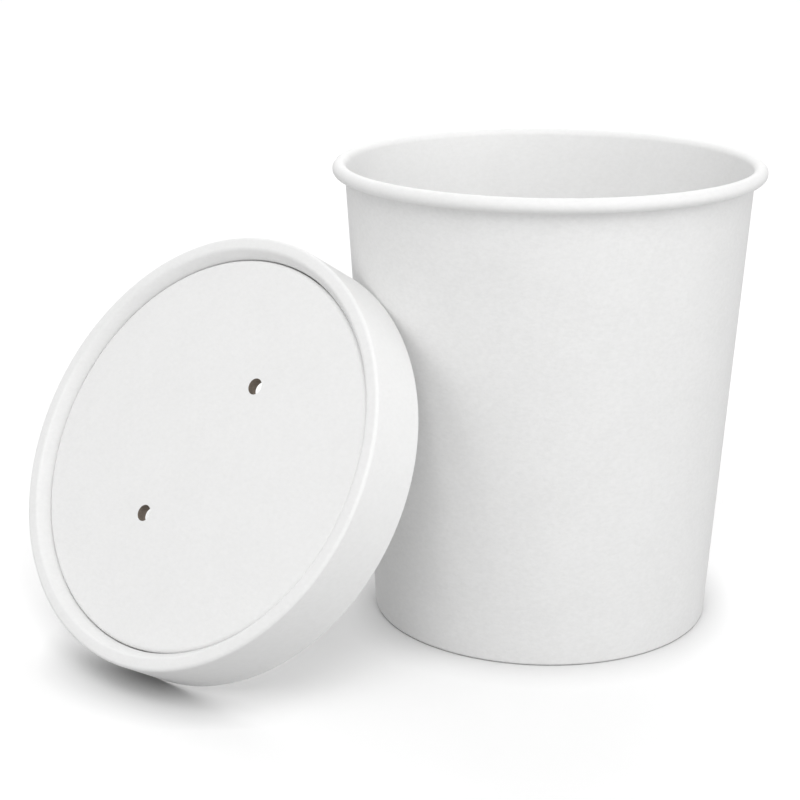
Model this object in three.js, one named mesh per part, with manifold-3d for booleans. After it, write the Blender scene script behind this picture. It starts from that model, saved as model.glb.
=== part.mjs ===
// A round paper soup container with its vented lid, in millimetres, +Z up.
// The cup stands upright and the lid leans on the cup's side, its skirt on the ground.
// The cup is a rolled-rim conical wall and a recessed bottom disc held in the wall's folded foot.
// The lid is a folded ring with an outer skirt, and a sunk disc with two pierced steam vents.
// The origin is the middle of the underside of the whole.

import * as THREE from "three";
import { mergeVertices } from "three/addons/utils/BufferGeometryUtils.js";
import Module from "manifold-3d";

const wasm = await Module();
wasm.setup();

// Paper, the clearance between papers that lie face to face, and how tightly a folded edge turns.
const PAPER = 0.45;
const CLEAR = 0.3;
const FOLD_BEND = 0.5;

// Faces round a turned piece, and steps along its bends.
const SIDES = 64;
const BEAD_STEPS = 12;
const EDGE_STEPS = 4;
const FOLD_STEPS = 2;
const VENT_SIDES = 20;

// Cup.
const RIM_RADIUS = 49.0;
const CUP_HEIGHT = 106.8;
const BASE_RADIUS = 39.4;
const BEAD_RADIUS = 1.6;
const BEAD_END_DEG = -112;
const HEM_HEIGHT = 7.2;
const FOOT_RECESS = 8.6;
const BOTTOM_BEND = 0.8;

// Lid, in its own frame: the ring's top is at height 0 and the skirt hangs below it.
const LID_TOP_RADIUS = 49.35;
const LID_SKIRT_RADIUS = 49.5;
const LID_SKIRT_HEIGHT = 14.6;
const LID_SHOULDER = 0.85;
const LID_INNER_EDGE = 1.0;
const LID_SLANT_DEG = 60;
const LID_PLUG_RADIUS = 45.0;
const LID_PLUG_DEPTH = 8.4;
const DISC_RECESS = 2.4;
const DISC_EDGE = 0.5;
const RING_HEM = 3.0;
const VENT_RADIUS = 1.85;
const VENT_DEPTH = 2.5;
const VENT_SPACING = 38.0;
const VENT_TURN_DEG = 62;

// How the lid leans: which way its top faces, how far it looks up, and its bearing from the cup's axis.
const LID_FACING_DEG = -131.5;
const LID_LOOK_UP_DEG = 31.5;
const LID_BEARING_DEG = -156.2;

const BOARD_WHITE = 0xeeeeec;
const INSIDE_WHITE = 0xe9e9e6;

function board(colour) {
  return new THREE.MeshStandardMaterial({ color: colour, roughness: 0.62, metalness: 0 });
}

// Points of an arc in the (radius, height) plane, from one angle to another in degrees.
function arc(centreR, centreZ, radius, fromDeg, toDeg, steps) {
  const points = [];
  for (let i = 0; i <= steps; i += 1) {
    const angle = THREE.MathUtils.degToRad(THREE.MathUtils.lerp(fromDeg, toDeg, i / steps));
    points.push(new THREE.Vector2(centreR + radius * Math.cos(angle), centreZ + radius * Math.sin(angle)));
  }
  return points;
}

// The unit normal on the left of the run from a to b.
function leftNormal(a, b) {
  const run = b.clone().sub(a).normalize();
  return new THREE.Vector2(-run.y, run.x);
}

// The centre line of a folded paper moved sideways by a distance, with mitred corners.
function offsetLine(line, distance) {
  return line.map((point, i) => {
    const before = i > 0 ? leftNormal(line[i - 1], point) : leftNormal(point, line[i + 1]);
    const after = i < line.length - 1 ? leftNormal(point, line[i + 1]) : before;
    const mitre = before.clone().add(after).normalize();
    return point.clone().addScaledVector(mitre, distance / mitre.dot(before));
  });
}

// The outline of a paper strip whose middle follows the centre line, from the line's end round to it again.
function paperOutline(line) {
  const left = offsetLine(line, PAPER / 2);
  const right = offsetLine(line, -PAPER / 2);
  return [...left.reverse(), ...right];
}

function signedArea(outline) {
  return outline.reduce((sum, p, i) => {
    const q = outline[(i + 1) % outline.length];
    return sum + (p.x * q.y - q.x * p.y) / 2;
  }, 0);
}

// Turns an outline round the Z axis. An outline that starts and ends on the axis is left open there.
function turned(outline, endsOnAxis) {
  const ordered = signedArea(outline) > 0 ? outline.slice() : outline.slice().reverse();
  const profile = endsOnAxis ? ordered : [...ordered, ordered[0].clone()];
  return new THREE.LatheGeometry(profile, SIDES).rotateX(Math.PI / 2);
}

function toSolid(geometry) {
  const weldDistance = 1e-5;
  const bare = geometry.clone();
  bare.deleteAttribute("normal");
  bare.deleteAttribute("uv");
  const merged = mergeVertices(bare, weldDistance);
  const mesh = new wasm.Mesh({
    numProp: 3,
    vertProperties: Float32Array.from(merged.attributes.position.array),
    triVerts: Uint32Array.from(merged.index.array),
  });
  return new wasm.Manifold(mesh);
}

function toGeometry(solid) {
  const mesh = solid.getMesh();
  const geometry = new THREE.BufferGeometry();
  geometry.setAttribute("position", new THREE.BufferAttribute(mesh.vertProperties, 3));
  geometry.setIndex(new THREE.BufferAttribute(mesh.triVerts, 1));
  geometry.computeVertexNormals();
  return geometry;
}

function named(name, geometry, colour) {
  const mesh = new THREE.Mesh(geometry, board(colour));
  mesh.name = name;
  return mesh;
}

// The middle of the cup's conical paper wall at a height above the ground.
const beadCentreZ = CUP_HEIGHT - BEAD_RADIUS;
const wallTopR = RIM_RADIUS - 2 * BEAD_RADIUS + PAPER / 2;
const wallBaseR = BASE_RADIUS - PAPER / 2;
const wallSlope = (wallTopR - wallBaseR) / beadCentreZ;

function wallR(z) {
  return wallBaseR + wallSlope * z;
}

// A folded edge holds another paper's edge, so its two sides stand two papers and two clearances apart.
const foldWidth = 2 * PAPER + 2 * CLEAR;

// The turn of a folded edge, from its inner side to its outer side, with a narrow flat underneath.
function foldTurn(outerR, lowestZ) {
  const bendZ = lowestZ + PAPER / 2 + FOLD_BEND;
  return [
    ...arc(outerR - foldWidth + FOLD_BEND, bendZ, FOLD_BEND, 180, 270, FOLD_STEPS),
    ...arc(outerR - FOLD_BEND, bendZ, FOLD_BEND, 270, 360, FOLD_STEPS),
  ];
}

// The wall: a hem turned up inside the foot, the cone, and the rim rolled outward into a bead.
function cupWallLine() {
  const beadTurn = BEAD_RADIUS - PAPER / 2;
  return [
    new THREE.Vector2(wallR(HEM_HEIGHT) - foldWidth, HEM_HEIGHT),
    ...foldTurn(wallR(PAPER / 2 + FOLD_BEND), 0),
    ...arc(wallTopR + beadTurn, beadCentreZ, beadTurn, 180, BEAD_END_DEG, BEAD_STEPS),
  ];
}

// The recessed bottom: a flat disc whose edge turns down into the foot's fold.
function cupBottomLine() {
  const skirtFootZ = PAPER + CLEAR;
  const edgeR = wallR(FOOT_RECESS) - foldWidth / 2;
  return [
    new THREE.Vector2(wallR(skirtFootZ) - foldWidth / 2, skirtFootZ),
    ...arc(edgeR - BOTTOM_BEND, FOOT_RECESS - BOTTOM_BEND, BOTTOM_BEND, 0, 90, EDGE_STEPS),
    new THREE.Vector2(0, FOOT_RECESS),
  ];
}

function makeCup() {
  const cup = new THREE.Group();
  cup.add(named("cup_wall", turned(paperOutline(cupWallLine()), false), BOARD_WHITE));
  cup.add(named("cup_bottom", turned(paperOutline(cupBottomLine()), true), INSIDE_WHITE));
  return cup;
}

// The middle of the lid's plug wall, which narrows downward as the cup does. Its inner side has the
// plug's radius where the disc sits.
function plugR(z) {
  return LID_PLUG_RADIUS + PAPER / 2 + wallSlope * (z + DISC_RECESS);
}

// The lid's ring: skirt, rounded shoulder, flat top, slanted wall down to the disc, plug wall, and a hem
// turned up inside the disc's flange.
function lidRingLine() {
  const half = PAPER / 2;
  const outerBend = LID_SHOULDER - half;
  const innerBend = LID_INNER_EDGE - half;
  const slant = THREE.MathUtils.degToRad(LID_SLANT_DEG);
  const slantTopZ = -LID_INNER_EDGE + innerBend * Math.cos(slant);
  const slantTopR = plugR(-DISC_RECESS) + (slantTopZ + DISC_RECESS) / Math.tan(slant);
  const innerCentreR = slantTopR + innerBend * Math.sin(slant);
  return [
    new THREE.Vector2(LID_SKIRT_RADIUS - half, -LID_SKIRT_HEIGHT),
    ...arc(LID_TOP_RADIUS - LID_SHOULDER, -LID_SHOULDER, outerBend, 0, 90, EDGE_STEPS),
    ...arc(innerCentreR, -LID_INNER_EDGE, innerBend, 90, 90 + LID_SLANT_DEG, EDGE_STEPS),
    new THREE.Vector2(plugR(-DISC_RECESS), -DISC_RECESS),
    ...foldTurn(plugR(-LID_PLUG_DEPTH), -LID_PLUG_DEPTH).reverse(),
    new THREE.Vector2(plugR(RING_HEM - LID_PLUG_DEPTH) - foldWidth, RING_HEM - LID_PLUG_DEPTH),
  ];
}

// The lid's disc: sunk below the ring, its edge turned down between the plug wall and the hem.
function lidDiscLine() {
  const half = PAPER / 2;
  const discZ = -DISC_RECESS - half;
  const flangeFootZ = PAPER + CLEAR - LID_PLUG_DEPTH;
  const edgeR = plugR(discZ - DISC_EDGE) - foldWidth / 2;
  return [
    new THREE.Vector2(plugR(flangeFootZ) - foldWidth / 2, flangeFootZ),
    ...arc(edgeR - DISC_EDGE, discZ - DISC_EDGE, DISC_EDGE, 0, 90, EDGE_STEPS),
    new THREE.Vector2(0, discZ),
  ];
}

function uprightTube(radius, topZ, bottomZ, place) {
  const tube = new THREE.CylinderGeometry(radius, radius, topZ - bottomZ, VENT_SIDES).rotateX(Math.PI / 2);
  return toSolid(tube.translate(place.x, place.y, (topZ + bottomZ) / 2));
}

// Each vent is pierced from above, so a short collar of paper stands out below the disc.
function piercedDisc() {
  const turn = THREE.MathUtils.degToRad(VENT_TURN_DEG);
  const bite = 1.0;
  let disc = toSolid(turned(paperOutline(lidDiscLine()), true));
  for (const side of [-1, 1]) {
    const reach = (side * VENT_SPACING) / 2;
    const place = new THREE.Vector2(reach * Math.cos(turn), reach * Math.sin(turn));
    const collarTop = -DISC_RECESS - PAPER / 2;
    const collarFoot = -DISC_RECESS - VENT_DEPTH;
    disc = disc.add(uprightTube(VENT_RADIUS + PAPER, collarTop, collarFoot, place));
    disc = disc.subtract(uprightTube(VENT_RADIUS, -DISC_RECESS + bite, collarFoot - bite, place));
  }
  return toGeometry(disc);
}

// The lid's frame as it leans: its own +Z looks out and up, and its own +X lies level.
function leaningAxes() {
  const facing = THREE.MathUtils.degToRad(LID_FACING_DEG);
  const lookUp = THREE.MathUtils.degToRad(LID_LOOK_UP_DEG);
  const out = new THREE.Vector3(Math.cos(facing), Math.sin(facing), 0);
  const normal = out.multiplyScalar(Math.cos(lookUp)).setZ(Math.sin(lookUp));
  const level = new THREE.Vector3(-Math.sin(facing), Math.cos(facing), 0);
  return { level, upSlope: normal.clone().cross(level), normal };
}

// The height of the ring's centre that sets the lowest point of the skirt's edge on the ground.
function restHeight() {
  const lookUp = THREE.MathUtils.degToRad(LID_LOOK_UP_DEG);
  return LID_SKIRT_RADIUS * Math.cos(lookUp) + LID_SKIRT_HEIGHT * Math.sin(lookUp);
}

function lidCentre(reach) {
  const bearing = THREE.MathUtils.degToRad(LID_BEARING_DEG);
  return new THREE.Vector3(reach * Math.cos(bearing), reach * Math.sin(bearing), restHeight());
}

// The least distance from the skirt's edge to the cup's wall, with the lid's centre at this reach.
function gapToCup(reach, axes) {
  const wallTilt = Math.cos(Math.atan(wallSlope));
  const probes = 720;
  let least = Infinity;
  for (let i = 0; i < probes; i += 1) {
    const angle = (2 * Math.PI * i) / probes;
    const point = lidCentre(reach)
      .addScaledVector(axes.level, LID_SKIRT_RADIUS * Math.cos(angle))
      .addScaledVector(axes.upSlope, LID_SKIRT_RADIUS * Math.sin(angle))
      .addScaledVector(axes.normal, -LID_SKIRT_HEIGHT);
    const outside = Math.hypot(point.x, point.y) - wallR(point.z) - PAPER / 2;
    least = Math.min(least, outside * wallTilt);
  }
  return least;
}

// The reach that leaves just the clearance between skirt and cup, found by halving.
function restingReach(axes) {
  const halvings = 40;
  let near = RIM_RADIUS;
  let far = RIM_RADIUS + 2 * LID_SKIRT_RADIUS;
  for (let i = 0; i < halvings; i += 1) {
    const middle = (near + far) / 2;
    if (gapToCup(middle, axes) < CLEAR) near = middle;
    else far = middle;
  }
  return far;
}

function makeLid() {
  const lid = new THREE.Group();
  lid.add(named("lid_ring", turned(paperOutline(lidRingLine()), false), BOARD_WHITE));
  lid.add(named("lid_disc", piercedDisc(), BOARD_WHITE));
  const axes = leaningAxes();
  const lean = new THREE.Matrix4().makeBasis(axes.level, axes.upSlope, axes.normal);
  lid.setRotationFromMatrix(lean);
  lid.position.copy(lidCentre(restingReach(axes)));
  return lid;
}

const container = new THREE.Group();
container.add(makeCup(), makeLid());
container.updateMatrixWorld(true);
const extent = new THREE.Box3().setFromObject(container, true);
container.position.set(-(extent.min.x + extent.max.x) / 2, -(extent.min.y + extent.max.y) / 2, -extent.min.z);
container.updateMatrixWorld(true);

export default container;
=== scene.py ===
# %% [markdown]
# # A paper soup container and its vented lid
# This lesson dresses a plain paper soup cup and the lid that leans on its side.
# The CAD model gives every place and size, and Blender gives the fine curves, the
# folds, the seams and the look of coated paperboard. The model is loaded first, as
# a frame that is never changed.

import math

import bpy
from mathutils import Matrix, Vector


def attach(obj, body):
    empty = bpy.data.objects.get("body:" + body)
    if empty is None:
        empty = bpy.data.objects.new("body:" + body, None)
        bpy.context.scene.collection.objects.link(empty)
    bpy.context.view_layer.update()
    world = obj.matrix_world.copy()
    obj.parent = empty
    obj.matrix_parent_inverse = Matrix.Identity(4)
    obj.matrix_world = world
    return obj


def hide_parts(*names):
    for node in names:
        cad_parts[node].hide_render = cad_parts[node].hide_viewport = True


MM = 0.001

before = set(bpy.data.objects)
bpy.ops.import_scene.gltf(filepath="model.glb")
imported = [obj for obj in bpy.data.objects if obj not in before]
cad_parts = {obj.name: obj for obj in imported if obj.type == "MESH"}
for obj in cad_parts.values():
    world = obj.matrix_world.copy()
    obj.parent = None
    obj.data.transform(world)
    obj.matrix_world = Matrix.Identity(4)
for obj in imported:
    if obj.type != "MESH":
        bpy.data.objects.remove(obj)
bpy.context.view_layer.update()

# %% [markdown]
# ## The camera
# A product photo like this one is taken with a long lens, a little above the rim,
# so the far side of the rim is only slightly smaller than the near side. The camera
# is placed first, because everything else is judged through it. Its place is in metres,
# its angle in radians, and its lens and film are in millimetres.

# %% Place the camera
CAMERA_PLACE = (0.001461, -0.404602, 0.1760)
CAMERA_LOOKS_DOWN = 0.294
CAMERA_LENS = 83.25
FILM_WIDTH = 36.0
NEAREST_SEEN = 0.01
FARTHEST_SEEN = 50.0

bpy.ops.object.camera_add(location=CAMERA_PLACE, rotation=(math.pi / 2 - CAMERA_LOOKS_DOWN, 0, 0))
camera = bpy.context.object
camera.name = "photo_camera"
camera.data.lens = CAMERA_LENS
camera.data.sensor_width = FILM_WIDTH
camera.data.clip_start = NEAREST_SEEN
camera.data.clip_end = FARTHEST_SEEN
bpy.context.scene.camera = camera
print("camera looks down", round(math.degrees(CAMERA_LOOKS_DOWN), 1), "degrees")

# %% [markdown]
# ## Where the cup and the lid stand
# Both pieces are round, so each is modelled upright round the Z axis and then moved
# to its place. The cup only needs a shift. The lid leans, so it needs a shift and a
# turn: its own Z looks out and up, its own X lies level, and Y runs up its slope.
# The shift and turn are baked into the mesh, so every object stays at the origin.

# %% Name the places and a helper that sets a piece there
CUP_AXIS = Vector((35.1111, 11.6979, 0.0)) * MM
LID_CENTRE = Vector((-43.7491, -23.0836, 49.8342)) * MM
LID_LEVEL = Vector((0.748956, -0.662620, 0.0))
LID_OUT = Vector((-0.564976, -0.638590, 0.522499))
LID_UP = LID_OUT.cross(LID_LEVEL)

CUP_PLACE = Matrix.Translation(CUP_AXIS)
LID_TURN = Matrix((LID_LEVEL, LID_UP, LID_OUT)).transposed().to_4x4()
LID_PLACE = Matrix.Translation(LID_CENTRE) @ LID_TURN


def set_in_place(piece, place):
    clear_selection()
    piece.select_set(True)
    bpy.context.view_layer.objects.active = piece
    piece.matrix_world = place
    bpy.ops.object.transform_apply(location=True, rotation=True, scale=True)


print("lid looks up", round(math.degrees(math.asin(LID_OUT.z)), 1), "degrees")

# %% [markdown]
# ## Choosing parts of a mesh
# Operators act on whatever is selected, and loading the frame leaves its nodes
# selected. So every step begins by clearing the selection, and rings of points are
# then chosen by their height and their distance from an axis. NEAR says how close, in
# millimetres, a point must lie to count.

# %% Helpers for selecting
NEAR = 0.1


def clear_selection():
    active = bpy.context.object
    if active is not None and active.mode != "OBJECT":
        bpy.ops.object.mode_set(mode="OBJECT")
    bpy.ops.object.select_all(action="DESELECT")


def select_points(piece, wanted):
    """Selects the points whose radius, height and angle the test accepts, and opens edit mode."""
    bpy.ops.object.mode_set(mode="OBJECT")
    mesh = piece.data
    mesh.polygons.foreach_set("select", [False] * len(mesh.polygons))
    mesh.edges.foreach_set("select", [False] * len(mesh.edges))
    chosen = []
    for point in mesh.vertices:
        x, y, z = point.co / MM
        chosen.append(bool(wanted(math.hypot(x, y), z, math.degrees(math.atan2(y, x)))))
    mesh.vertices.foreach_set("select", chosen)
    bpy.ops.object.mode_set(mode="EDIT")
    bpy.ops.mesh.select_mode(type="VERT")
    return sum(chosen)


# %% [markdown]
# ## Shaping paper as a sheet
# A cup is made of flat paperboard that is wound, folded and rolled. The easiest way
# to get its folds right is to model only the middle of the sheet: start from an open
# cone, then pull its end ring along, one small step at a time, round each bend. The
# Solidify modifier gives the sheet its thickness at the end, with a real cut edge.

# %% Helpers for pulling a sheet along a line
ROUND_STEPS = 256
PAPER = 0.45
HALF = PAPER / 2
SMOOTH_BELOW = math.radians(40)


def start_sheet(name, low, high):
    """An open cone between two (radius, height) places in millimetres, round the Z axis."""
    clear_selection()
    bpy.ops.mesh.primitive_cone_add(
        vertices=ROUND_STEPS,
        radius1=low[0] * MM,
        radius2=high[0] * MM,
        depth=(high[1] - low[1]) * MM,
        end_fill_type="NOTHING",
        location=(0, 0, (low[1] + high[1]) / 2 * MM),
    )
    piece = bpy.context.object
    piece.name = name
    piece.data.name = name
    bpy.ops.object.transform_apply(location=True, rotation=True, scale=True)
    return piece


def pull_ring(start, places, centre=(0.0, 0.0)):
    """Extrudes the selected ring from its place through the others, each a (radius, height)."""
    radius, height = start
    pivot = (centre[0] * MM, centre[1] * MM, 0)
    for next_radius, next_height in places:
        bpy.ops.mesh.extrude_region_move()
        grow = next_radius / radius
        bpy.ops.transform.resize(value=(grow, grow, 1), center_override=pivot)
        bpy.ops.transform.translate(value=(0, 0, (next_height - height) * MM))
        radius, height = next_radius, next_height


def arc(centre_r, centre_z, radius, start_deg, end_deg, steps):
    """Places along a bend, in the plane of radius and height."""
    places = []
    for step in range(steps + 1):
        angle = math.radians(start_deg + (end_deg - start_deg) * step / steps)
        places.append((centre_r + radius * math.cos(angle), centre_z + radius * math.sin(angle)))
    return places


def give_thickness(piece, front, back, edge):
    """Solidify: half the paper to each side, with a finish for the front, the back and the cut edge."""
    for finish in (front, back, edge):
        piece.data.materials.append(finish)
    bpy.ops.object.mode_set(mode="OBJECT")
    clear_selection()
    piece.select_set(True)
    bpy.context.view_layer.objects.active = piece
    bpy.ops.object.modifier_add(type="SOLIDIFY")
    thick = piece.modifiers[-1]
    thick.thickness = PAPER * MM
    thick.offset = 0.0
    thick.use_even_offset = True
    thick.use_rim = True
    thick.material_offset = 1
    thick.material_offset_rim = 2
    bpy.ops.object.modifier_apply(modifier=thick.name)
    bpy.ops.object.shade_smooth_by_angle(angle=SMOOTH_BELOW)


def tell(piece):
    corners = [piece.matrix_world @ Vector(corner) for corner in piece.bound_box]
    span = [round((max(c[i] for c in corners) - min(c[i] for c in corners)) / MM, 2) for i in range(3)]
    print(piece.name, len(piece.data.polygons), "faces, span in mm", span)


print("round pieces have", ROUND_STEPS, "steps")

# %% [markdown]
# ## Paper fibres, used by every finish
# Coated paperboard looks plain white, but close to it is never even: pulp forms soft
# clouds a few millimetres wide, and short fibres leave a fine tooth under the coating.
# Both are made once, in a node group with named sockets, so that each finish can set
# its own strength. The group gives a tone, a roughness and a height, and nothing else.

# %% Build the fibre group
FIBRES_PER_METRE = (700.0, 900.0, 1500.0)
FIBRE_LEAN = (0.5, 0.35, 0.8)


def new_node(tree, kind, place, **settings):
    node = tree.nodes.new(kind)
    node.location = place
    for name, value in settings.items():
        setattr(node, name, value)
    return node


def noise(tree, place, vector, scale, detail, roughness):
    node = new_node(tree, "ShaderNodeTexNoise", place)
    node.inputs["Scale"].default_value = scale
    node.inputs["Detail"].default_value = detail
    node.inputs["Roughness"].default_value = roughness
    tree.links.new(vector, node.inputs["Vector"])
    return node.outputs["Fac"]


def math_node(tree, place, operation, first, second):
    node = new_node(tree, "ShaderNodeMath", place, operation=operation)
    for socket, value in zip(node.inputs, (first, second)):
        if isinstance(value, (int, float)):
            socket.default_value = value
        else:
            tree.links.new(value, socket)
    return node.outputs["Value"]


def make_fibre_group():
    group = bpy.data.node_groups.new("paper_fibres", "ShaderNodeTree")
    face = group.interface
    face.new_socket("Vector", in_out="INPUT", socket_type="NodeSocketVector")
    for name, value in (("Cloud", 0.5), ("Tooth", 0.5), ("Dull", 0.6), ("Dull Spread", 0.08)):
        socket = face.new_socket(name, in_out="INPUT", socket_type="NodeSocketFloat")
        socket.default_value = value
    for name in ("Tone", "Roughness", "Height"):
        face.new_socket(name, in_out="OUTPUT", socket_type="NodeSocketFloat")
    start = new_node(group, "NodeGroupInput", (-1200, 0))
    end = new_node(group, "NodeGroupOutput", (600, 0))
    where = start.outputs["Vector"]
    cloud = noise(group, (-900, 300), where, scale=95.0, detail=3.0, roughness=0.55)
    fine = noise(group, (-900, 50), where, scale=950.0, detail=4.0, roughness=0.65)
    stretch = new_node(group, "ShaderNodeMapping", (-1100, -250))
    stretch.inputs["Scale"].default_value = FIBRES_PER_METRE
    stretch.inputs["Rotation"].default_value = FIBRE_LEAN
    group.links.new(where, stretch.inputs["Vector"])
    fibre = noise(group, (-900, -250), stretch.outputs["Vector"], scale=1.0, detail=3.0, roughness=0.6)
    grain = math_node(group, (-600, -100), "ADD", fine, fibre)
    grain = math_node(group, (-450, -100), "SUBTRACT", grain, 1.0)
    swell = math_node(group, (-600, 300), "SUBTRACT", cloud, 0.5)
    toothed = math_node(group, (-250, -100), "MULTIPLY", grain, start.outputs["Tooth"])
    clouded = math_node(group, (-250, 300), "MULTIPLY", swell, start.outputs["Cloud"])
    tone = math_node(group, (-50, 200), "ADD", toothed, clouded)
    tone = math_node(group, (150, 200), "ADD", tone, 0.5)
    group.links.new(tone, end.inputs["Tone"])
    patchy = math_node(group, (-50, 0), "MULTIPLY", grain, start.outputs["Dull Spread"])
    dull = math_node(group, (150, 0), "ADD", patchy, start.outputs["Dull"])
    group.links.new(dull, end.inputs["Roughness"])
    group.links.new(math_node(group, (150, -200), "ADD", toothed, 0.5), end.inputs["Height"])
    return group


FIBRES = make_fibre_group()
print("fibre group sockets", [item.name for item in FIBRES.interface.items_tree])

# %% [markdown]
# ## The paper finishes
# Every board of a plain container is matt white. The inside face has a finish of its
# own, with less shine in this even light, and it also shows on the bead, because the
# wall is rolled outward there. Where the board is cut, the raw fibres show: rougher and
# a touch creamier. The pierced vents are brownish grey inside, with painted shade:
# their colour is far darker than the other cut edges, standing for the shade in the holes.

# %% Make the finishes
def paper_finish(name, light, shade, dull, tooth, cloud, depth, shine=0.5):
    finish = bpy.data.materials.new(name)
    finish.use_nodes = True
    tree = finish.node_tree
    shader = tree.nodes["Principled BSDF"]
    place = new_node(tree, "ShaderNodeTexCoord", (-1000, 0))
    fibres = new_node(tree, "ShaderNodeGroup", (-750, 0), node_tree=FIBRES)
    fibres.inputs["Cloud"].default_value = cloud
    fibres.inputs["Tooth"].default_value = tooth
    fibres.inputs["Dull"].default_value = dull
    tree.links.new(place.outputs["Object"], fibres.inputs["Vector"])
    colour = new_node(tree, "ShaderNodeMix", (-400, 200), data_type="RGBA")
    colour.inputs["A"].default_value = (*shade, 1)
    colour.inputs["B"].default_value = (*light, 1)
    tree.links.new(fibres.outputs["Tone"], colour.inputs["Factor"])
    tree.links.new(colour.outputs["Result"], shader.inputs["Base Color"])
    tree.links.new(fibres.outputs["Roughness"], shader.inputs["Roughness"])
    bump = new_node(tree, "ShaderNodeBump", (-400, -200))
    bump.inputs["Distance"].default_value = depth * MM
    tree.links.new(fibres.outputs["Height"], bump.inputs["Height"])
    tree.links.new(bump.outputs["Normal"], shader.inputs["Normal"])
    shader.inputs["Specular IOR Level"].default_value = shine
    return finish


OUTSIDE = paper_finish(
    "matt_board", light=(0.879, 0.879, 0.876), shade=(0.831, 0.831, 0.827),
    dull=0.46, tooth=1.8, cloud=1.1, depth=0.014,
)
INSIDE = paper_finish(
    "sealed_board", light=(0.89, 0.89, 0.887), shade=(0.85, 0.85, 0.846),
    dull=0.6, tooth=1.5, cloud=1.1, depth=0.012, shine=0.2,
)
LID_BOARD = paper_finish(
    "lid_board", light=(0.885, 0.885, 0.882), shade=(0.845, 0.845, 0.841),
    dull=0.5, tooth=1.4, cloud=0.9, depth=0.016,
)
CUT_EDGE = paper_finish(
    "cut_board_edge", light=(0.86, 0.852, 0.832), shade=(0.76, 0.75, 0.722),
    dull=0.85, tooth=1.2, cloud=0.6, depth=0.08,
)
# The vents' inner walls: a brownish fibre tint plus painted shade, far darker than the plain cut edge.
VENT_EDGE_WITH_SHADE = paper_finish(
    "pierced_edge_painted_shade", light=(0.29, 0.243, 0.2), shade=(0.175, 0.148, 0.122),
    dull=0.9, tooth=1.4, cloud=0.6, depth=0.1,
)
print("finishes", [finish.name for finish in (OUTSIDE, INSIDE, LID_BOARD, CUT_EDGE, VENT_EDGE_WITH_SHADE)])

# %% [markdown]
# ## The cup's wall
# The wall is one blank of board. It is wound into a cone, rolled outward at the top into
# a bead that stiffens the rim, and folded up inside at the bottom to hold the edge of the
# cup's floor. The cone comes first. Then the top ring is rolled round the bead, and the
# bottom ring goes round the fold and up the hem.

# %% Name the cup's sizes and roll the wall
BASE_R = 39.4
RIM_R = 48.97
BEAD_R = 1.6
BEAD_Z = 105.18
BEAD_ENDS_AT = -158
BEAD_STEPS = 26
CLEAR = 0.3
FOLD_WIDTH = 2 * PAPER + 2 * CLEAR
FOLD_BEND = 0.5
FOOT_Z = 0.01
HEM_TOP = 7.2
WALL_RUNS = (6.0, 8.6, 12.0, 35.0, 60.0, 85.0, 101.0)

wall_top_r = RIM_R - 2 * BEAD_R + HALF
wall_base_r = BASE_R - HALF
bead_line_r = BEAD_R - HALF


def wall_r(z):
    """The middle of the wall's board at a height."""
    return wall_base_r + (wall_top_r - wall_base_r) * z / BEAD_Z


fold_z = FOOT_Z + HALF + FOLD_BEND
wall_low = (wall_r(fold_z), fold_z)
wall_high = (wall_top_r, BEAD_Z)

wall = start_sheet("cup_wall_board", wall_low, (wall_r(WALL_RUNS[0]), WALL_RUNS[0]))
select_points(wall, lambda r, z, a: z > WALL_RUNS[0] - NEAR)
rise = [(wall_r(z), z) for z in WALL_RUNS[1:]] + [wall_high]
bead = arc(wall_top_r + bead_line_r, BEAD_Z, bead_line_r, 180, BEAD_ENDS_AT, BEAD_STEPS)[1:]
pull_ring((wall_r(WALL_RUNS[0]), WALL_RUNS[0]), rise + bead)
print("rim across", round(2 * RIM_R, 2), "mm, bead", 2 * BEAD_R, "mm thick")

# %% [markdown]
# ## The foot
# At the bottom the board turns inward and up again. On the real cup a toothed wheel
# presses this hem against the floor's edge, which leaves a row of fine upright ribs
# inside the foot. Every second column of the hem is pushed inward for them.

# %% Fold the foot and press the ribs
RIB_DEPTH = 0.14
RIB_LOW = 2.2
RIB_HIGH = 6.4
RIB_RAMP = 0.5
HEM_LIP = 0.4

hem_r = wall_low[0] - FOLD_WIDTH
fold = arc(wall_low[0] - FOLD_BEND, fold_z, FOLD_BEND, 0, -90, 5)[1:]
fold += arc(hem_r + FOLD_BEND, fold_z, FOLD_BEND, 270, 180, 5)
hem = [(hem_r, z) for z in (RIB_LOW - RIB_RAMP, RIB_LOW, RIB_HIGH, HEM_TOP - HEM_LIP, HEM_TOP)]
select_points(wall, lambda r, z, a: z < fold_z + NEAR)
pull_ring(wall_low, fold + hem)

rib_angle = 360 / ROUND_STEPS


def is_rib(r, z, a):
    on_hem = abs(r - hem_r) < NEAR and RIB_LOW - NEAR < z < RIB_HIGH + NEAR
    return on_hem and round(a / rib_angle) % 2 == 0


ribs = select_points(wall, is_rib)
press = (hem_r - RIB_DEPTH) / hem_r
bpy.ops.transform.resize(value=(press, press, 1), center_override=(0, 0, 0))
print("ribs pressed", ribs // 2)

# %% [markdown]
# ## The cup's side seam
# The blank's two ends lap over each other and are sealed, which leaves one fine upright
# step on the wall. It is on the side that the photo does not show. One column of edges is
# bevelled into a pair, then the columns beyond it are drawn inward, less and less, so a
# crisp step fades into the round wall.

# %% Lap the side seam
SEAM_STEP = 0.3
SEAM_COLUMNS = 6
SEAM_MIDDLE_R = 45.0
SEAM_NEAR_DEG = 0.2


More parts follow.
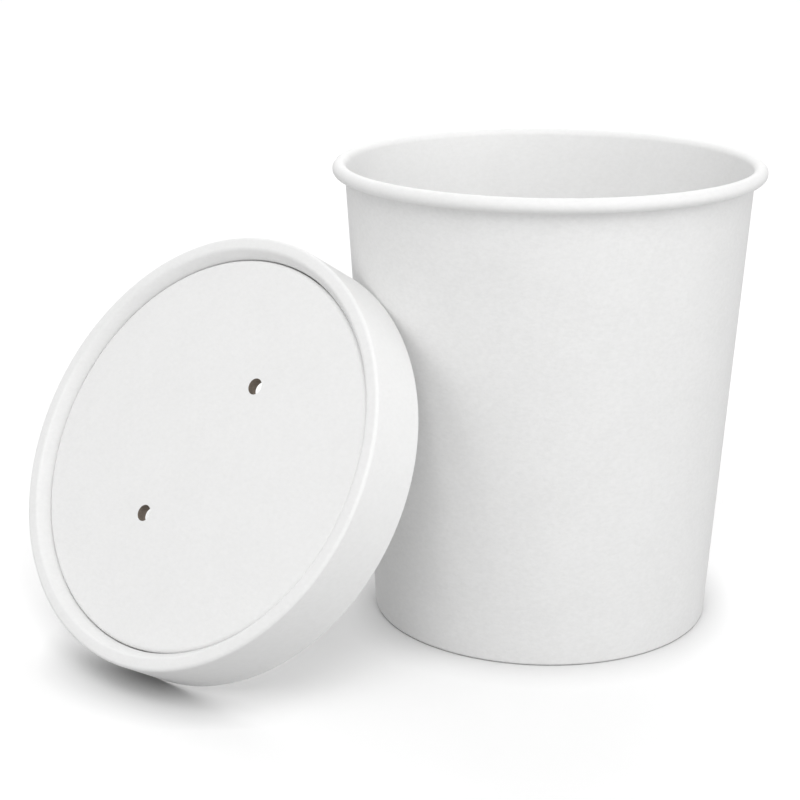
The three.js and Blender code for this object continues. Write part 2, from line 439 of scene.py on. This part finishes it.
def lap_seam(piece, seam_deg, low_z, high_z, least_r, lip):
    """A step in a round wall: crisp on one side and fading out on the other."""

    def near(a, degrees):
        return abs((a - degrees + 180) % 360 - 180) < SEAM_NEAR_DEG

    def on_wall(r, z):
        return low_z < z < high_z and r > least_r

    line = round(seam_deg / rib_angle) * rib_angle
    select_points(piece, lambda r, z, a: on_wall(r, z) and near(a, line))
    bpy.ops.mesh.bevel(offset=lip * MM, segments=1, affect="EDGES")
    for column in range(SEAM_COLUMNS):
        depth = SEAM_STEP * (1 - column / SEAM_COLUMNS) ** 1.5
        if column == 0:
            reach = (line + 0.02, line + rib_angle * 0.4)
        else:
            reach = (line + rib_angle * (column - 0.1), line + rib_angle * (column + 0.1))
        low, high = reach
        found = select_points(
            piece, lambda r, z, a: on_wall(r, z) and low < (a + 360 if a < 0 < low else a) < high
        )
        if found:
            draw_in = 1 - depth / SEAM_MIDDLE_R
            bpy.ops.transform.resize(value=(draw_in, draw_in, 1), center_override=(0, 0, 0))
    return line


seam_at = lap_seam(wall, seam_deg=171.0, low_z=1.5, high_z=200.0, least_r=39.0, lip=0.12)
print("side seam at", round(seam_at, 1), "degrees")

# %% Give the wall its thickness and set it in place
give_thickness(wall, front=OUTSIDE, back=INSIDE, edge=CUT_EDGE)
set_in_place(wall, CUP_PLACE)
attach(wall, "root")
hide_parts("cup_wall")
tell(wall)

# %% [markdown]
# ## The cup's floor
# The floor is a disc whose edge turns down into the folded foot, like a shallow drum set
# upside down. Its ring is pulled up round the bend and then in to the middle, where the
# last ring is merged to one point.

# %% Shape the floor
FLOOR_Z = 8.6
FLOOR_BEND = 0.8
FLOOR_RINGS = (36.0, 30.0, 18.0, 8.0, 2.0)

flange_low_z = PAPER + CLEAR
flange_low = (wall_r(flange_low_z) - FOLD_WIDTH / 2, flange_low_z)
floor_edge_r = wall_r(FLOOR_Z) - FOLD_WIDTH / 2
bend_start = (floor_edge_r, FLOOR_Z - FLOOR_BEND)

cup_floor = start_sheet("cup_floor_board", flange_low, bend_start)
select_points(cup_floor, lambda r, z, a: z > bend_start[1] - NEAR)
bend = arc(floor_edge_r - FLOOR_BEND, FLOOR_Z - FLOOR_BEND, FLOOR_BEND, 0, 90, 8)[1:]
to_middle = [(radius, FLOOR_Z) for radius in FLOOR_RINGS]
pull_ring(bend_start, bend + to_middle)
bpy.ops.mesh.extrude_region_move()
bpy.ops.mesh.merge(type="CENTER")

give_thickness(cup_floor, front=INSIDE, back=OUTSIDE, edge=CUT_EDGE)
set_in_place(cup_floor, CUP_PLACE)
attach(cup_floor, "root")
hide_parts("cup_bottom")
tell(cup_floor)

# %% [markdown]
# ## The lid's ring
# The lid's rim is one strip: an outer skirt that slips over the bead, a crisp shoulder,
# a narrow flat top, a slanted wall down to the disc, and a plug wall that goes on down
# inside the cup and is folded up to hold the disc. The plug wall narrows downward at the
# same slope as the cup. It starts from the skirt, and the top ring is pulled all round.

# %% Shape the ring
SKIRT_R = 49.45
SHOULDER_R = 49.28
SKIRT_DEPTH = 14.6
SHOULDER = 0.85
INNER_EDGE = 1.0
SLANT = math.radians(60)
PLUG_R = 45.0
PLUG_DEPTH = 8.4
RING_HEM = 3.0
DISC_DEPTH = 2.4
PLUG_RUNS = (-DISC_DEPTH, -3.4, -5.4)

wall_slope = (wall_top_r - wall_base_r) / BEAD_Z


def plug_line_r(z):
    """The middle of the plug wall, whose inner side has the plug's radius where the disc sits."""
    return PLUG_R + HALF + wall_slope * (z + DISC_DEPTH)


skirt_low = (SKIRT_R - HALF, -SKIRT_DEPTH)
shoulder_low = (SHOULDER_R - HALF, -SHOULDER)
shoulder_bend = SHOULDER - HALF
inner_bend = INNER_EDGE - HALF
slant_top_z = -INNER_EDGE + inner_bend * math.cos(SLANT)
slant_top_r = plug_line_r(-DISC_DEPTH) + (slant_top_z + DISC_DEPTH) / math.tan(SLANT)
inner_centre_r = slant_top_r + inner_bend * math.sin(SLANT)
plug_fold_r = plug_line_r(-PLUG_DEPTH)
plug_fold_z = -PLUG_DEPTH + HALF + FOLD_BEND
hem_top = RING_HEM - PLUG_DEPTH

ring = start_sheet("lid_ring_board", skirt_low, shoulder_low)
select_points(ring, lambda r, z, a: z > -SHOULDER - NEAR)
over = arc(SHOULDER_R - SHOULDER, -SHOULDER, shoulder_bend, 0, 90, 8)[1:]
over += arc(inner_centre_r, -INNER_EDGE, inner_bend, 90, 90 + math.degrees(SLANT), 7)
over += [(plug_line_r(z), z) for z in PLUG_RUNS]
over += arc(plug_fold_r - FOLD_BEND, plug_fold_z, FOLD_BEND, 0, -90, 5)
over += arc(plug_fold_r - FOLD_WIDTH + FOLD_BEND, plug_fold_z, FOLD_BEND, 270, 180, 5)
over += [(plug_line_r(hem_top) - FOLD_WIDTH, hem_top)]
pull_ring(shoulder_low, over)

lid_seam = lap_seam(ring, seam_deg=165.0, low_z=-15.0, high_z=-1.4, least_r=48.9, lip=0.12)
print("lid seam at", round(lid_seam, 1), "degrees")

give_thickness(ring, front=LID_BOARD, back=LID_BOARD, edge=CUT_EDGE)
set_in_place(ring, LID_PLACE)
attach(ring, "root")
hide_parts("lid_ring")
tell(ring)

# %% [markdown]
# ## The lid's disc
# The disc sits a little below the ring's top, and its edge turns down beside the plug
# wall. That edge is rounded and reaches a little further out than its flange, so the
# joint shows as a thin line. The disc has two pierced vents, so it cannot simply be
# pulled to the middle. A circle is added for each vent, and the flat is filled between
# the disc's ring and the circles.

# %% Shape the disc
DISC_EDGE = 0.9
EDGE_REACH = 0.12
VENT_R = 1.85
VENT_SPACING = 38.0
VENT_TURN = math.radians(62)
VENT_STEPS = 48
VENT_RINGS = (2.5, 3.4)
DISC_OUTER_R = 43.0
DISC_OPEN_R = 41.5

disc_z = -DISC_DEPTH - HALF
flange_foot_z = PAPER + CLEAR - PLUG_DEPTH
disc_low = (plug_line_r(flange_foot_z) - FOLD_WIDTH / 2, flange_foot_z)
disc_edge_r = plug_line_r(disc_z - DISC_EDGE) - FOLD_WIDTH / 2 + EDGE_REACH
disc_bend_low = (disc_edge_r, disc_z - DISC_EDGE)
vent_places = [
    (side * VENT_SPACING / 2 * math.cos(VENT_TURN), side * VENT_SPACING / 2 * math.sin(VENT_TURN))
    for side in (-1, 1)
]

disc = start_sheet("lid_disc_board", disc_low, disc_bend_low)
select_points(disc, lambda r, z, a: z > disc_bend_low[1] - NEAR)
disc_bend = arc(disc_edge_r - DISC_EDGE, disc_z - DISC_EDGE, DISC_EDGE, 0, 90, 7)[1:]
pull_ring(disc_bend_low, disc_bend + [(DISC_OUTER_R, disc_z), (DISC_OPEN_R, disc_z)])
for x, y in vent_places:
    bpy.ops.mesh.select_all(action="DESELECT")
    bpy.ops.mesh.primitive_circle_add(
        vertices=VENT_STEPS, radius=VENT_R * MM, location=(x * MM, y * MM, disc_z * MM)
    )
    pull_ring((VENT_R, disc_z), [(radius, disc_z) for radius in VENT_RINGS], centre=(x, y))


def on_open_ring(r, z, a):
    return abs(z - disc_z) < NEAR and abs(r - DISC_OPEN_R) < NEAR


def on_vent_ring(r, z, a):
    x, y = r * math.cos(math.radians(a)), r * math.sin(math.radians(a))
    from_vent = min(math.hypot(x - vent_x, y - vent_y) for vent_x, vent_y in vent_places)
    return abs(z - disc_z) < NEAR and abs(from_vent - VENT_RINGS[-1]) < NEAR


select_points(disc, lambda r, z, a: on_open_ring(r, z, a) or on_vent_ring(r, z, a))
bpy.ops.mesh.fill(use_beauty=True)

# %% [markdown]
# A fill and an added circle can face either way, and a face that looks down would get its
# thickness and its finish the wrong way round. So such faces are counted: there are none.

# %% Count the faces that look down, and finish the disc
bpy.ops.object.mode_set(mode="OBJECT")
print("faces that look down", sum(face.normal.z < -0.5 for face in disc.data.polygons))

give_thickness(disc, front=LID_BOARD, back=LID_BOARD, edge=CUT_EDGE)
set_in_place(disc, LID_PLACE)
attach(disc, "root")
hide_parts("lid_disc")
tell(disc)

# %% [markdown]
# ## The pierced vents
# A blunt pin pierces the board from above, so each vent has a short collar of pushed-down
# paper, fibrous and brownish inside, that stands out below the disc. Its inside colour is
# also painted dark, as painted shade. Each collar is a small sheet of its own, flush with
# the disc's hole.

# %% Shape the collars
COLLAR_DEPTH = 2.5
COLLAR_START = 0.6
COLLAR_GAP = 0.03
COLLAR_LIP = 0.4
collar_r = VENT_R + HALF


def make_collar(name, place):
    foot = -DISC_DEPTH - COLLAR_DEPTH
    top = -DISC_DEPTH - COLLAR_GAP - COLLAR_START
    clear_selection()
    bpy.ops.mesh.primitive_cone_add(
        vertices=VENT_STEPS,
        radius1=collar_r * MM,
        radius2=collar_r * MM,
        depth=COLLAR_START * MM,
        end_fill_type="NOTHING",
        location=(place[0] * MM, place[1] * MM, (-DISC_DEPTH - COLLAR_GAP - COLLAR_START / 2) * MM),
    )
    collar = bpy.context.object
    collar.name = name
    collar.data.name = name
    bpy.ops.object.transform_apply(location=True, rotation=True, scale=True)
    select_points(collar, lambda r, z, a: z < top + NEAR)
    places = [(collar_r, top - 0.5), (collar_r - 0.02, foot + COLLAR_LIP), (collar_r - 0.06, foot)]
    pull_ring((collar_r, top), places, centre=place)
    # The collar's inside and cut edge take the vent finish, with its painted shade.
    give_thickness(collar, front=LID_BOARD, back=VENT_EDGE_WITH_SHADE, edge=VENT_EDGE_WITH_SHADE)
    set_in_place(collar, LID_PLACE)
    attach(collar, "root")
    tell(collar)


for number, place in enumerate(vent_places, start=1):
    make_collar(f"vent_collar_{number}", place)

# %% [markdown]
# ## The floor
# The picture is high key: a white floor, soft light from all round, and only thin soft
# shadows where cup and lid meet the ground. A floor bright enough to look white would
# throw too much light up on the white board. So its paint has two shaders, chosen by
# Light Path: the camera sees a white one, with painted shade darkening its colour close
# to the pieces, and all other rays meet a greyer one. The floor isn't part of the object.

# %% Lay the floor
FLOOR_SIZE = 14.0
FLOOR_MIDDLE = (0, 3.0, 0)
FLOOR_BOUNCE = 0.6
CONTACT_REACH = 0.012
CONTACT_DEPTH = 0.35
CONTACT_SAMPLES = 16

bpy.ops.mesh.primitive_plane_add(size=FLOOR_SIZE, location=FLOOR_MIDDLE)
ground = bpy.context.object
ground.name = "stage_floor"
ground_paint = bpy.data.materials.new("stage_white")
ground_paint.use_nodes = True
ground_tree = ground_paint.node_tree
ground_tree.nodes.remove(ground_tree.nodes["Principled BSDF"])
bounce = new_node(ground_tree, "ShaderNodeBsdfDiffuse", (-200, -100))
bounce.inputs["Color"].default_value = (FLOOR_BOUNCE, FLOOR_BOUNCE, FLOOR_BOUNCE, 1)
seen = new_node(ground_tree, "ShaderNodeBsdfDiffuse", (-200, 100))
seen.inputs["Color"].default_value = (1, 1, 1, 1)
# Painted contact shade: an occlusion node darkens the white floor's colour close to the pieces.
contact = new_node(ground_tree, "ShaderNodeAmbientOcclusion", (-650, 100))
contact.inputs["Distance"].default_value = CONTACT_REACH
contact.samples = CONTACT_SAMPLES
painted_contact_shade = new_node(ground_tree, "ShaderNodeGamma", (-450, 100))
painted_contact_shade.inputs["Gamma"].default_value = CONTACT_DEPTH
ground_tree.links.new(contact.outputs["Color"], painted_contact_shade.inputs["Color"])
ground_tree.links.new(painted_contact_shade.outputs["Color"], seen.inputs["Color"])
ray = new_node(ground_tree, "ShaderNodeLightPath", (-200, 400))
pick = new_node(ground_tree, "ShaderNodeMixShader", (50, 0))
ground_tree.links.new(ray.outputs["Is Camera Ray"], pick.inputs["Fac"])
ground_tree.links.new(bounce.outputs["BSDF"], pick.inputs[1])
ground_tree.links.new(seen.outputs["BSDF"], pick.inputs[2])
ground_tree.links.new(pick.outputs["Shader"], ground_tree.nodes["Material Output"].inputs["Surface"])
ground.data.materials.append(ground_paint)

# %% [markdown]
# ## The lights
# Two soft boxes stand in front, one on the right and two behind, all aimed at the pieces.
# A sixth hangs far behind, over the back of the floor, which would otherwise turn grey
# towards the top of the camera's view. A white room gives the rest of the light.

# %% Light the set
def soft_box(name, place, look_at, size, power):
    bpy.ops.object.light_add(type="AREA", location=place)
    light = bpy.context.object
    light.name = name
    light.data.shape = "SQUARE"
    light.data.size = size
    light.data.energy = power
    aim = Vector(look_at) - Vector(place)
    light.rotation_euler = aim.to_track_quat("-Z", "Y").to_euler()


MIDDLE = (0, 0, 0.05)
BACK_OF_FLOOR = (0, 2.5, 0)
ROOM_LIGHT = 0.56

soft_box("box_front_high", (0, -1.0, 1.25), MIDDLE, size=1.0, power=10.4)
soft_box("box_front_low", (0, -1.5, 0.5), MIDDLE, size=1.0, power=2.3)
soft_box("box_right", (1.45, -0.45, 0.55), MIDDLE, size=0.8, power=4.1)
soft_box("box_back", (0.1, 1.3, 1.0), MIDDLE, size=1.2, power=4.65)
soft_box("box_back_left", (-1.0, 0.8, 0.9), MIDDLE, size=1.0, power=2.5)
soft_box("box_far_floor", (0, 2.6, 1.3), BACK_OF_FLOOR, size=2.4, power=14.0)

world = bpy.data.worlds.new("white_room")
bpy.context.scene.world = world
world.use_nodes = True
sky = world.node_tree.nodes["Background"]
sky.inputs["Color"].default_value = (1, 1, 1, 1)
sky.inputs["Strength"].default_value = ROOM_LIGHT
bpy.context.scene.view_settings.view_transform = "Standard"
